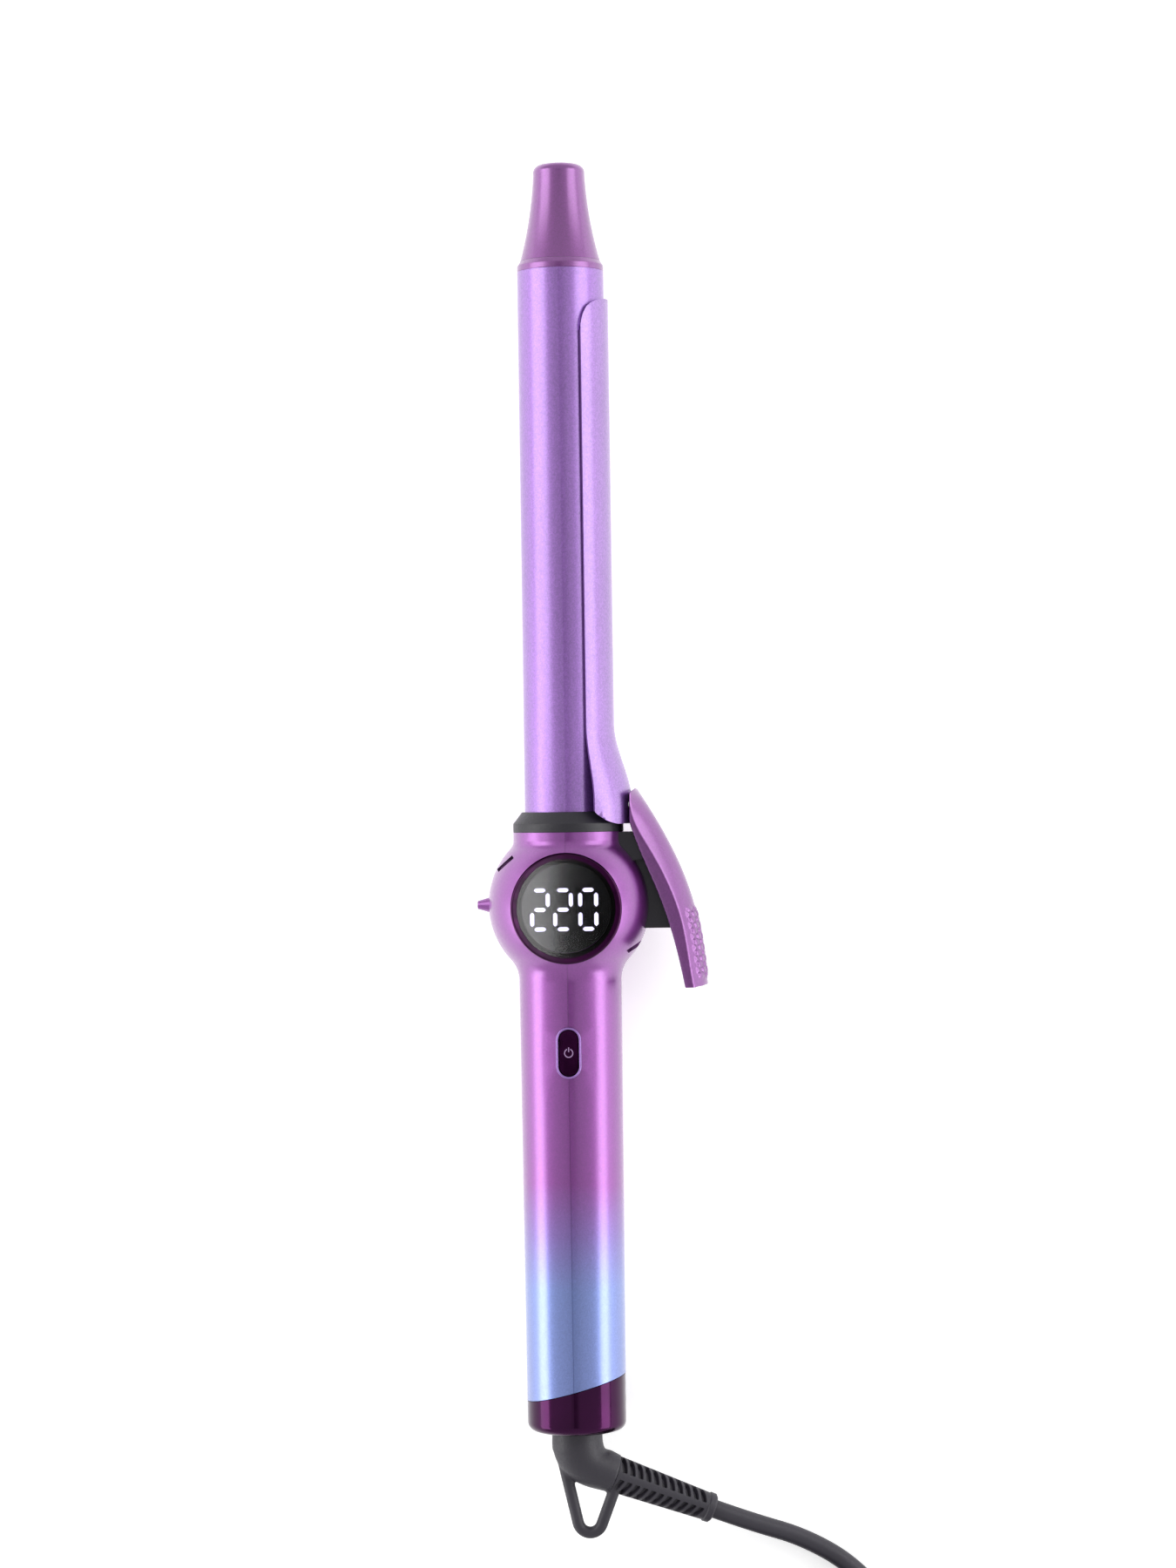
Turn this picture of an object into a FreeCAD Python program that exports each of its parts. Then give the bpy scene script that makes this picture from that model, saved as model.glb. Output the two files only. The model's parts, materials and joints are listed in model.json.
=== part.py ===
import FreeCAD, Part
import math
import os

os.makedirs("parts", exist_ok=True)

# Curling iron lying on its back. Millimetres, +Z up, +Y along the barrel towards the tip,
# +X towards the thumb lever. The origin is the centre of the rest pad under the hub.

# Driving dimensions
AXIS_Z = 18.2            # height of the iron's long axis above the table
BARREL_R = 14.0
BARREL_WALL = 1.1
BARREL_START = 24.5
BARREL_END = 205.0
RING_END = 208.4
TIP_END = 239.8
TIP_BASE_R = 13.0
TIP_TOP_R = 7.9
COLLAR_RIM_R = 17.9
COLLAR_START = 23.4
COLLAR_RIM_END = 26.2
COLLAR_END = 29.9
HUB_R = 26.2
NECK_R = 17.9
NECK_FILLET = 3.5
HANDLE_R = 16.6
HANDLE_END_R = 16.0
HANDLE_FILLET = 10.0
SHELL_WALL = 2.2
SHELL_BACK_Z = 0.4       # flat back of the hub
PAD_R = 13.0
DISPLAY_Y = -0.9
DISPLAY_H = 19.0         # bezel seat above the axis
BEZEL_R = 17.85
BEZEL_RISE = 0.7
BEZEL_FILLET = 0.8
LENS_R = 15.85
DIGIT_W = 6.6
DIGIT_H = 14.0
DIGIT_PITCH = 7.9
STROKE = 1.15
BUTTON_Y = -47.3
BUTTON_W = 5.9
BUTTON_L = 14.6
BUTTON_RIM_W = 8.2
BUTTON_RIM_L = 16.6
SEAM_W = 0.26            # line between the two shells
SEAM_DEPTH = 0.3
CAP_GAP = 0.22           # line between the shells and the end cap
SCREW_YS = (-72.0, -140.0)
CAP_END = -170.5
CAP_MID = -156.6         # where the slanted joint line crosses the axis
CAP_SLOPE = 0.27         # the joint line rises towards the lever side
CAP_FILLET = 2.8
SWIVEL_R = 8.2
SWIVEL_GAP = 0.06
CLIP_INNER_R = 14.35
CLIP_WALL = 1.0
CLIP_HALF_ANGLE = 62.5
CLIP_TIP = 195.7
CLIP_CORNER = 10.0
FLARE = 5.4              # how far the clip's heel stands out to meet the lever
PIVOT_X = 24.9
PIVOT_Y = 18.9
PIN_R = 1.0
BOSS_R = 2.2
PIN_GAP = 0.05
LEVER_HALF = 9.0
LEVER_INNER_HALF = 7.2
GRIP_BARS = 6            # raised bars on the lever's outer face
GRIP_BAR_R = 0.9
GRIP_BAR_HALF = 3.6
GRIP_FIRST_X = 41.3
GRIP_FIRST_Y = -4.0
GRIP_PITCH = 4.0
PIN_HALF = 8.1           # the pin's ends stop inside the lever's side walls
BRACKET_HALF = 6.8
SLEEVE_START = (11.8, -185.4, 16.5)
SLEEVE_END = (43.5, -198.1, 10.2)
SLEEVE_R0 = 5.95
SLEEVE_R1 = 4.8
LOOP_STRAND_R = 1.95
LOOP_BOW_R = 4.0
CORD_R = 3.05
COIL_CENTRE = (64.0, -266.0)
COIL_MID_R = 34.0
COIL_PITCH = 6.2
COIL_FLOOR = 0.8
TIE_WALL = 0.8
TIE_W = 14.0
TIE_TURN = 115.0
PLUG_PIN_R = 2.0
PLUG_PIN_LENGTH = 19.0
PLUG_PIN_SPACING = 18.6
PLUG_LENGTH = 36.0

V = FreeCAD.Vector
LONG = V(0, 1, 0)
UP = V(0, 0, 1)
CENTRE = V(0, 0, AXIS_Z)

# The cord's route, from the sleeve to the coil and from the coil to the plug.
CORD_ROUTE = [
    V(43.5, -198.1, 10.2),
    V(56.3, -203.2, 7.6),
    V(72.5, -208.6, 3.9),
    V(88.5, -217.8, 3.05),
    V(101.0, -232.5, 3.1),
    V(106.6, -251.0, 3.5),
    V(104.2, -268.0, 3.85),
]
TAIL_ROUTE = [
    V(43.9, -300.8, 16.2),
    V(24.0, -290.2, 11.5),
    V(4.0, -284.0, 6.85),
]
PLUG_DIRECTION = V(-20.0, 6.2, 0.0).normalize()


def save(name, shape):
    """Write one node's solids to its STEP file."""
    shape = shape.removeSplitter()
    shape.exportStep(os.path.join("parts", name + ".step"))


def along(radius, start, end, x=0.0, h=0.0):
    """Cylinder parallel to the iron's axis, offset sideways by x and upwards by h."""
    return Part.makeCylinder(radius, end - start, V(x, start, AXIS_Z + h), LONG)


def ring(outer, inner, start, end):
    return along(outer, start, end).cut(along(inner, start - 1, end + 1))


def upright(radius, x, y, low, high):
    """Cylinder parallel to Z between two heights above the axis."""
    return Part.makeCylinder(radius, high - low, V(x, y, AXIS_Z + low), UP)


def block(x0, x1, y0, y1, h0, h1):
    """Box between limits, with heights measured from the axis."""
    return Part.makeBox(x1 - x0, y1 - y0, h1 - h0, V(x0, y0, AXIS_Z + h0))


def revolve(edges_points):
    """Turn a closed (radius, y) outline about the iron's axis."""
    points = [V(r, y, AXIS_Z) for r, y in edges_points]
    face = Part.Face(Part.makePolygon(points + [points[0]]))
    return face.revolve(CENTRE, LONG, 360)


def pill(width, length, y, low, high):
    """Upright pill-shaped prism centred on the handle's top line."""
    r = width / 2
    reach = length / 2 - r
    shape = block(-r, r, y - reach, y + reach, low, high)
    for end in (-reach, reach):
        shape = shape.fuse(upright(r, 0, y + end, low, high))
    return shape.removeSplitter()


def spline(points):
    curve = Part.BSplineCurve()
    curve.interpolate(points)
    return curve.toShape()


def body_outline(shrink):
    """Solid of revolution of hub, neck and handle, moved inwards by shrink."""
    hub = HUB_R - shrink
    neck = NECK_R - shrink
    grip = HANDLE_R - shrink
    end = HANDLE_END_R - shrink
    up_r = NECK_FILLET + shrink
    low_r = HANDLE_FILLET + shrink
    up_y = math.sqrt((hub + up_r) ** 2 - (neck + up_r) ** 2)
    low_y = -math.sqrt((hub + low_r) ** 2 - (grip + low_r) ** 2)

    def at(r, y):
        return V(r, y, AXIS_Z)

    def touch(r, y, fillet):
        f = hub / (hub + fillet)
        return at((r + fillet) * f, y * f)

    def fillet_mid(r, y, fillet):
        a = touch(r, y, fillet)
        mid = (a + at(r, y)) * 0.5
        centre = at(r + fillet, y)
        return centre + (mid - centre).normalize() * fillet

    top = COLLAR_START + (1 if shrink else 0)
    bottom = CAP_END + 2
    edges = [
        Part.makeLine(at(0, top), at(neck, top)),
        Part.makeLine(at(neck, top), at(neck, up_y)),
        Part.Arc(at(neck, up_y), fillet_mid(neck, up_y, up_r), touch(neck, up_y, up_r)).toShape(),
        Part.Arc(touch(neck, up_y, up_r), at(hub, 0), touch(grip, low_y, low_r)).toShape(),
        Part.Arc(touch(grip, low_y, low_r), fillet_mid(grip, low_y, low_r), at(grip, low_y)).toShape(),
        Part.makeLine(at(grip, low_y), at(end, bottom)),
        Part.makeLine(at(end, bottom), at(0, bottom)),
        Part.makeLine(at(0, bottom), at(0, top)),
    ]
    return Part.Face(Part.Wire(edges)).revolve(CENTRE, LONG, 360)


def beyond_cap_line(gap):
    """Everything on the cap's side of the slanted joint line, plus a gap on the handle's side."""
    big = 40.0
    y0 = CAP_MID - CAP_SLOPE * big + gap
    y1 = CAP_MID + CAP_SLOPE * big + gap
    points = [V(-big, y0, -big), V(big, y1, -big), V(big, -300, -big), V(-big, -300, -big)]
    face = Part.Face(Part.makePolygon(points + [points[0]]))
    return face.extrude(V(0, 0, 3 * big))


def make_shells(bracket):
    """Left and right halves of the hub and handle, with a seat cut for the lever's bracket."""
    outer = body_outline(0)
    outer = outer.common(Part.makeBox(80, 300, 80, V(-40, -250, SHELL_BACK_Z)))
    inner = body_outline(SHELL_WALL)
    inner = inner.common(Part.makeBox(80, 300, 80, V(-40, -250, SHELL_BACK_Z + SHELL_WALL)))
    seat = upright(BEZEL_R + 0.02, 0, DISPLAY_Y, DISPLAY_H - 3.0, 40)
    well = upright(LENS_R - 1.5, 0, DISPLAY_Y, 5, 40)
    shell = outer.cut(inner).cut(seat).cut(well)
    shelf = upright(BEZEL_R + 1.4, 0, DISPLAY_Y, DISPLAY_H - 4.6, DISPLAY_H - 3.0)
    shell = shell.fuse(shelf.common(outer).cut(well))
    shell = shell.cut(pill(BUTTON_RIM_W, BUTTON_RIM_L, BUTTON_Y, 5, 30))
    shell = shell.cut(beyond_cap_line(CAP_GAP))
    shell = shell.cut(Part.makeCylinder(3.5, 20, V(-35, 0, AXIS_Z), V(1, 0, 0)))
    shell = shell.cut(Part.makeCylinder(PAD_R + 0.02, 1.0, V(0, 0, SHELL_BACK_Z - 0.2), UP))
    shell = shell.cut(bracket)
    skin = outer.cut(body_outline(SEAM_DEPTH))
    shell = shell.cut(skin.common(Part.makeBox(SEAM_W, 400, 60, V(-SEAM_W / 2, -250, AXIS_Z))))
    for y in SCREW_YS:
        shell = shell.cut(upright(2.4, 0, y, -30, -10))
    for x, y, turn in ((-20.0, 13.5, 40), (22.0, -13.5, 32)):
        slot = Part.makeBox(7, 1.1, 14, V(-3.5, -0.55, -7))
        slot.rotate(V(0, 0, 0), UP, turn)
        slot.translate(V(x, y, AXIS_Z + 6))
        shell = shell.cut(slot)
    left = shell.common(Part.makeBox(60, 400, 100, V(-60, -250, -20)))
    right = shell.common(Part.makeBox(60, 400, 100, V(0, -250, -20)))
    save("shell_left", left)
    save("shell_right", right)


def make_barrel():
    tube = ring(BARREL_R, BARREL_R - BARREL_WALL, BARREL_START, BARREL_END)
    save("barrel_tube", tube)
    inner = BARREL_R - BARREL_WALL
    holder = revolve([
        (8.0, 18.6), (15.6, 18.6), (15.6, 22.0), (inner - 0.02, 22.0), (inner - 0.02, 48.0),
        (10.5, 48.0), (10.5, 24.0), (8.0, 24.0),
    ])
    screws = []
    for side in (-1, 1):
        screw = Part.makeCylinder(1.2, 3.8, V(side * 10.9, 20.4, AXIS_Z), V(side, 0, 0))
        head = Part.makeCylinder(1.7, 0.7, V(side * 14.7, 20.4, AXIS_Z), V(side, 0, 0))
        screws.append(screw.fuse(head).removeSplitter())
    holder = holder.cut(block(-20, 20, 10, 23, -20, -14.3))
    for screw in screws:
        holder = holder.cut(screw)
    save("barrel_holder", holder)
    save("holder_screws", Part.makeCompound(screws))
    collar = revolve([
        (BARREL_R + 0.05, COLLAR_START), (COLLAR_RIM_R, COLLAR_START),
        (COLLAR_RIM_R, COLLAR_RIM_END), (COLLAR_RIM_R - 1.0, COLLAR_RIM_END + 1.2),
        (BARREL_R + 1.0, COLLAR_END), (BARREL_R + 0.05, COLLAR_END),
    ])
    save("heat_collar", collar)
    sleeve = ring(10.4, 9.4, 26.0, 64.0)
    save("insulating_sleeve", sleeve)


def make_tip():
    inner = BARREL_R - BARREL_WALL
    band = revolve([
        (9.0, 196.0), (inner - 0.02, 196.0), (inner - 0.02, BARREL_END), (BARREL_R, BARREL_END),
        (BARREL_R, BARREL_END + 1.9), (TIP_BASE_R, RING_END), (9.0, RING_END),
    ])
    save("tip_ring", band)

    def at(r, y):
        return V(r, y, AXIS_Z)

    shoulder = 2.0
    edges = [
        Part.makeLine(at(0, RING_END), at(TIP_BASE_R, RING_END)),
        Part.Arc(at(TIP_BASE_R, RING_END), at(9.95, 222.2), at(TIP_TOP_R + 0.5, 237.0)).toShape(),
        Part.Arc(at(TIP_TOP_R + 0.5, 237.0), at(7.6, TIP_END - 0.7),
                 at(TIP_TOP_R - shoulder, TIP_END)).toShape(),
        Part.makeLine(at(TIP_TOP_R - shoulder, TIP_END), at(0, TIP_END)),
        Part.makeLine(at(0, TIP_END), at(0, RING_END)),
    ]
    tip = Part.Face(Part.Wire(edges)).revolve(CENTRE, LONG, 360)
    hollow = Part.makeCone(9.0, 5.2, 26.0, V(0, RING_END - 1, AXIS_Z), LONG)
    save("tip_cap", tip.cut(hollow))
    lug = ring(8.95, 7.6, 199.0, 207.0).common(block(-3, 3, 190, 220, -20, 20))
    save("tip_latch", lug)


def make_heater():
    """Ceramic heater between two aluminium spreaders, with its sensor and fuse."""
    save("heater_core", block(-5.5, 5.5, 66, 190, -1.3, 1.3))
    disc = ring(12.6, 10.8, 68.0, 188.0)
    web = block(-1.4, 1.4, 68, 188, 3.0, 11.4)
    pad = block(-7.5, 7.5, 68, 188, 1.35, 3.0)
    for name, side in (("heat_spreader_front", 1), ("heat_spreader_back", -1)):
        half = disc.common(block(-20, 20, 60, 195, 0.6, 20)).fuse(web).fuse(pad)
        if side < 0:
            half = half.mirror(CENTRE, UP)
        save(name, half)
    save("temperature_sensor", along(1.1, 120, 130, 4.0, 4.3))
    save("thermal_fuse", along(2.0, 50, 61, -5.0, 0.0))
    leads = [along(0.8, 6, 49, x, 0).fuse(along(0.8, 49, 65.9, x, 0)) for x in (-2.2, 2.2)]
    save("heater_leads", Part.makeCompound([lead.removeSplitter() for lead in leads]))


def flare_sections():
    """Stations from the straight plate to the heel, moving outwards along an S-curve."""
    start, full, end = 58.0, 33.0, 25.9
    steps = 14
    sections = []
    for i in range(steps + 1):
        y = start + (end - start) * i / steps
        t = min(1.0, (start - y) / (start - full))
        sections.append(clip_section(y, CLIP_INNER_R + FLARE * t * t * (3 - 2 * t)))
    return sections


def clip_section(y, reach):
    """Closed outline of the clip's curved plate at one station along the barrel."""
    steps = 6
    sides = []
    for wall in (CLIP_WALL, 0.0):
        a = reach + wall
        b = CLIP_INNER_R + 0.55 * (reach - CLIP_INNER_R) + wall
        points = []
        for i in range(steps + 1):
            t = math.radians(CLIP_HALF_ANGLE * (2 * i / steps - 1))
            points.append(V(a * math.cos(t), y, AXIS_Z + b * math.sin(t)))
        sides.append(points)
    outer, inner = sides
    return Part.Wire([
        spline(outer),
        Part.makeLine(outer[-1], inner[-1]),
        spline(list(reversed(inner))),
        Part.makeLine(inner[0], outer[0]),
    ])


def make_clip():
    """Curved plate that closes on the barrel, flared outwards to meet the lever."""
    edge_x = (CLIP_INNER_R + CLIP_WALL) * math.cos(math.radians(CLIP_HALF_ANGLE))
    clip = Part.makeLoft([clip_section(CLIP_TIP, CLIP_INNER_R)] + flare_sections(), True, True)
    corner = [
        V(edge_x - 4, CLIP_TIP - CLIP_CORNER - 1.5, 0), V(edge_x - 4, CLIP_TIP + 3, 0),
        V(edge_x + 12, CLIP_TIP + 3, 0), V(edge_x + 12, CLIP_TIP, 0),
    ]
    start = V(edge_x - 1.2, CLIP_TIP - CLIP_CORNER - 1.5, 0)
    mid = V(edge_x + 2.0, CLIP_TIP - 3.2, 0)
    cutter = Part.Wire([
        Part.makeLine(start, corner[0]), Part.makeLine(corner[0], corner[1]),
        Part.makeLine(corner[1], corner[2]), Part.makeLine(corner[2], corner[3]),
        Part.makeLine(corner[3], V(edge_x + 8.5, CLIP_TIP, 0)),
        Part.Arc(V(edge_x + 8.5, CLIP_TIP, 0), mid, start).toShape(),
    ])
    clip = clip.cut(Part.Face(cutter).extrude(V(0, 0, 60)))
    heel = Part.Wire([
        spline([V(3.0, 42.0, 0), V(6.9, 36.5, 0), V(8.3, 31.6, 0), V(11.8, 27.9, 0), V(17.4, 25.8, 0)]),
        Part.makeLine(V(17.4, 25.8, 0), V(17.4, 20, 0)),
        Part.makeLine(V(17.4, 20, 0), V(3.0, 20, 0)),
        Part.makeLine(V(3.0, 20, 0), V(3.0, 42, 0)),
    ])
    clip = clip.cut(Part.Face(heel).extrude(V(0, 0, 60)))
    return clip


# The lever's outline in plan: its inner edge, its crest line and its outer bulge, from top to bottom.
INNER_LINE = (
    (20.3, 35.8), (20.1, 26.7), (23.3, 17.3), (27.6, 7.0), (32.9, -7.8), (35.5, -18.0), (37.4, -27.4),
)
CREST_LINE = (
    (20.9, 36.6), (21.3, 27.8), (26.8, 17.2), (32.1, 7.0), (36.4, -5.0), (38.4, -16.0), (40.2, -27.4),
)
OUTER_LINE = (
    (22.2, 37.4), (28.0, 28.2), (33.5, 18.0), (38.2, 7.0), (41.6, -5.0), (43.4, -16.0), (44.7, -26.6),
)


def lever_section(h, crown):
    """Lever outline at height h from its middle plane; crown is 1 there and 0 at the sides."""
    z = AXIS_Z + h
    inner = [V(x, y, z) for x, y in INNER_LINE]
    crest = [V(x, y, z) for x, y in CREST_LINE]
    full = [V(x, y, z) for x, y in OUTER_LINE]
    outer = [c + (f - c) * crown for c, f in zip(crest, full)]
    return Part.Wire([
        Part.makeLine(inner[0], inner[1]),
        spline(inner[1:]),
        Part.makeLine(inner[-1], outer[-1]),
        spline(list(reversed(outer))),
        Part.makeLine(outer[0], inner[0]),
    ])


def lever_pocket(half, lift):
    """Hollow of the lever, open towards the handle, lift beyond the crest line."""
    inside = [V(x - 6, y, 0) for x, y in INNER_LINE[1:]]
    roof = []
    for x, y in CREST_LINE[1:]:
        roof.append(V(x + lift, y + 0.3 * lift, 0))
    roof[0] = V(roof[0].x + 0.6, roof[0].y - 2.4, 0)
    roof[-1] = V(roof[-1].x - 0.6, roof[-1].y + 2.2, 0)
    inside[-1] = V(inside[-1].x, roof[-1].y, 0)
    inside[0] = V(inside[0].x, roof[0].y, 0)
    wire = Part.Wire([
        spline(inside), Part.makeLine(inside[-1], roof[-1]),
        spline(list(reversed(roof))), Part.makeLine(roof[0], inside[0]),
    ])
    solid = Part.Face(wire).extrude(V(0, 0, 2 * half))
    solid.translate(V(0, 0, AXIS_Z - half))
    return solid


def make_lever():
    """Hollow thumb lever that turns on blind holes in its side walls, joined to the clip plate."""
    heights = (-1.0, -0.72, -0.38, 0.0, 0.38, 0.72, 1.0)
    sections = [lever_section(f * LEVER_HALF, 1 - f * f) for f in heights]
    sections[0] = lever_section(-LEVER_HALF, 0.02)
    sections[-1] = lever_section(LEVER_HALF, 0.02)
    lever = Part.makeLoft(sections, True, False)
    lever = lever.cut(lever_pocket(LEVER_INNER_HALF, 0.2))
    lever = lever.cut(lever_pocket(5.0, 2.6))
    lever = lever.cut(upright(PIN_R, PIVOT_X, PIVOT_Y, -PIN_HALF, PIN_HALF))
    lever = lever.cut(upright(BOSS_R + 0.4, PIVOT_X, PIVOT_Y, -LEVER_INNER_HALF, LEVER_INNER_HALF))
    clip = make_clip().cut(sections_hull(sections))
    screws = []
    for h in (-4.5, 4.5):
        shank = Part.makeCylinder(1.0, 4.4, V(19.0, 32.0, AXIS_Z + h), V(1, 0, 0))
        head = Part.makeCylinder(1.9, 0.8, V(18.6, 32.0, AXIS_Z + h), V(1, 0, 0))
        screws.append(shank.fuse(head).removeSplitter())
    for screw in screws:
        clip = clip.cut(screw)
        lever = lever.cut(screw)
    save("clip_plate", clip)
    save("thumb_lever", lever)
    save("clip_screws", Part.makeCompound(screws))
    grip = []
    for i in range(GRIP_BARS):
        y = GRIP_FIRST_Y - GRIP_PITCH * i
        x = GRIP_FIRST_X + 0.66 * i - 0.02 * i * i
        bar = upright(GRIP_BAR_R, x, y, -GRIP_BAR_HALF, GRIP_BAR_HALF)
        grip.append(max(bar.cut(lever).Solids, key=lambda solid: solid.Volume))
    save("lever_grip_bars", Part.makeCompound(grip))


def sections_hull(sections):
    """Full outer volume of the lever, used to trim its neighbour."""
    return Part.makeLoft(sections, True, False)


def make_bracket():
    """Fixed black bracket beside the hub: it carries the pin and fills the lever's hollow."""
    half = BRACKET_HALF
    arm_points = [
        V(12.0, 12.0, 0), V(24.0, 14.5, 0), V(24.6, 16.6, 0),
        V(20.4, 23.2, 0), V(12.0, 23.2, 0),
    ]
    arm = Part.Face(Part.makePolygon(arm_points + [arm_points[0]])).extrude(V(0, 0, 2 * half))
    arm.translate(V(0, 0, AXIS_Z - half))
    boss = upright(BOSS_R, PIVOT_X, PIVOT_Y, -half, half)
    web = upright(BOSS_R, PIVOT_X - 2.6, PIVOT_Y - 0.9, -half, half)
    fin_points = [
        V(13.0, 16.0, 0), V(24.6, 16.4, 0), V(28.5, 7.0, 0), V(33.4, -8.0, 0),
        V(20.0, -8.0, 0), V(13.0, 2.0, 0),
    ]
    fin = Part.Face(Part.makePolygon(fin_points + [fin_points[0]])).extrude(V(0, 0, 9.2))
    fin.translate(V(0, 0, AXIS_Z - 4.6))
    bracket = arm.fuse(boss).fuse(web).fuse(fin)
    bracket = bracket.cut(upright(PIN_R + PIN_GAP, PIVOT_X, PIVOT_Y, -20, 20))
    bracket = bracket.cut(upright(2.9, PIVOT_X, PIVOT_Y, -3.2, 3.2))
    bracket = bracket.cut(along(15.7, -20, 30)).cut(body_outline(SHELL_WALL))
    save("lever_bracket", bracket)
    pin = upright(PIN_R, PIVOT_X, PIVOT_Y, -PIN_HALF, PIN_HALF)
    save("hinge_pin", pin)
    coil = upright(2.2, PIVOT_X, PIVOT_Y, -2.9, 2.9).cut(upright(1.4, PIVOT_X, PIVOT_Y, -4, 4))
    save("clip_spring", coil)
    return bracket


def seven_segment(digit):
    """Lit strokes of one digit: which of the seven segments are on."""
    on = {"0": "abcdef", "2": "abged"}[digit]
    w = DIGIT_W / 2
    h = DIGIT_H / 2
    s = STROKE / 2
    gap = 0.35
    bars = {
        "a": (-w + 1, w - 1, h - 2 * s, h), "d": (-w + 1, w - 1, -h, -h + 2 * s),
        "g": (-w + 1, w - 1, -s, s),
        "f": (-w, -w + 2 * s, gap, h - gap), "b": (w - 2 * s, w, gap, h - gap),
        "e": (-w, -w + 2 * s, -h + gap, -gap), "c": (w - 2 * s, w, -h + gap, -gap),
    }
    return [bars[letter] for letter in on]


def make_display():
    seat = DISPLAY_H - 3.0
    bezel = upright(BEZEL_R, 0, DISPLAY_Y, seat, DISPLAY_H + BEZEL_RISE)
    top = AXIS_Z + DISPLAY_H + BEZEL_RISE
    rim = [e for e in bezel.Edges if abs(e.CenterOfMass.z - top) < 0.01]
    bezel = bezel.makeFillet(BEZEL_FILLET, rim)
    bezel = bezel.cut(upright(LENS_R, 0, DISPLAY_Y, seat + 1.0, 40))
    bezel = bezel.cut(upright(LENS_R - 1.5, 0, DISPLAY_Y, 0, 40))
    save("display_bezel", bezel)
    save("display_lens", upright(LENS_R - 0.02, 0, DISPLAY_Y, seat + 1.0, DISPLAY_H + 0.2))
    module = upright(LENS_R - 1.6, 0, DISPLAY_Y, 12.0, seat + 0.35)
    save("display_module", module)
    strokes = []
    for place, digit in enumerate("220"):
        x0 = (place - 1) * DIGIT_PITCH - 0.3
        for a, b, c, d in seven_segment(digit):
            stroke = block(x0 + a, x0 + b, DISPLAY_Y + c, DISPLAY_Y + d, seat + 0.35, seat + 0.85)
            strokes.append(stroke)
    save("display_digits", Part.makeCompound(strokes))


def make_button():
    """Power button with its rim, its light ring mark and its switch."""
    rim = pill(BUTTON_RIM_W, BUTTON_RIM_L, BUTTON_Y, 12.8, HANDLE_R + 0.5)
    rim = rim.cut(pill(BUTTON_W + 0.6, BUTTON_L + 0.6, BUTTON_Y, 0, 40))
    save("button_rim", rim)
    face = HANDLE_R + 0.05
    button = pill(BUTTON_W, BUTTON_L, BUTTON_Y, 14.2, face)
    button = button.fuse(upright(1.6, 0, BUTTON_Y, 12.6, 14.2))
    mark = upright(1.5, 0, BUTTON_Y, face - 0.3, face).cut(upright(1.15, 0, BUTTON_Y, 0, 40))
    mark = mark.cut(block(-0.5, 0.5, BUTTON_Y, BUTTON_Y + 3, 0, 40))
    tick = block(-0.17, 0.17, BUTTON_Y + 0.35, BUTTON_Y + 1.85, face - 0.3, face)
    marks = Part.makeCompound([mark, tick])
    save("power_button", button.cut(mark).cut(tick))
    save("button_mark", marks)
    switch = block(-3, 3, BUTTON_Y - 3, BUTTON_Y + 3, 8.6, 11.0)
    switch = switch.fuse(upright(1.2, 0, BUTTON_Y, 11.0, 11.6))
    save("power_switch", switch.removeSplitter())


def make_toggle():
    """Small side nub that steps the temperature up and down, with its switch."""
    out = V(-1, 0, 0)
    nub = Part.makeCone(3.0, 1.3, 5.6, V(-24.2, 0, AXIS_Z), out)
    flange = Part.makeCylinder(4.6, 1.2, V(-21.6, 0, AXIS_Z), out)
    stem = Part.makeCylinder(3.0, 1.5, V(-22.75, 0, AXIS_Z), out)
    save("temp_toggle", nub.fuse(flange).fuse(stem).removeSplitter())
    save("toggle_switch", block(-20.6, -16.5, -5, 5, -3, 3))


def make_electronics():
    save("main_board", block(-10.8, 10.8, -142, -32, 7.0, 8.6))
    save("relay", block(-7, 7, -100, -81, -1.5, 6.9))
    save("mains_capacitor", block(-8, 8, -122, -105, -2.0, 6.9))
    save("triac", block(-5, 5, -70, -55, 2.4, 6.9))
    sink = block(-9, 9, -76, -46, -2.4, 2.3)
    for x in (-6.3, -2.7, 0.9, 4.5):
        sink = sink.cut(block(x, x + 1.8, -80, -40, -3, 0.8))
    save("heat_sink", sink)
    fuse = along(2.6, -138, -126, 0, 3.0)
    save("line_fuse", fuse)
    screws = []
    for y in SCREW_YS:
        shank = upright(1.3, 0, y, -15.0, -7.0)
        head = upright(2.3, 0, y, -15.9, -14.4)
        screws.append(shank.fuse(head).removeSplitter())
    save("shell_screws", Part.makeCompound(screws))
    pad = Part.makeCylinder(PAD_R, 1.2, V(0, 0, 0), UP)
    save("rest_pad", pad)


def make_end_cap():
    """Glossy cup that closes the handle, with the round opening for the swivel."""
    cup = along(HANDLE_END_R, CAP_END, CAP_MID + 12)
    rim = [e for e in cup.Edges if abs(e.CenterOfMass.y - CAP_END) < 0.01]
    cup = cup.makeFillet(CAP_FILLET, rim)
    cup = cup.common(beyond_cap_line(0.0))
    cup = cup.cut(along(HANDLE_END_R - 2.0, CAP_END + 5.5, CAP_MID + 20))
    cup = cup.cut(along(SWIVEL_R + SWIVEL_GAP, CAP_END - 5, CAP_MID))
    save("end_cap", cup)


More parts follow.
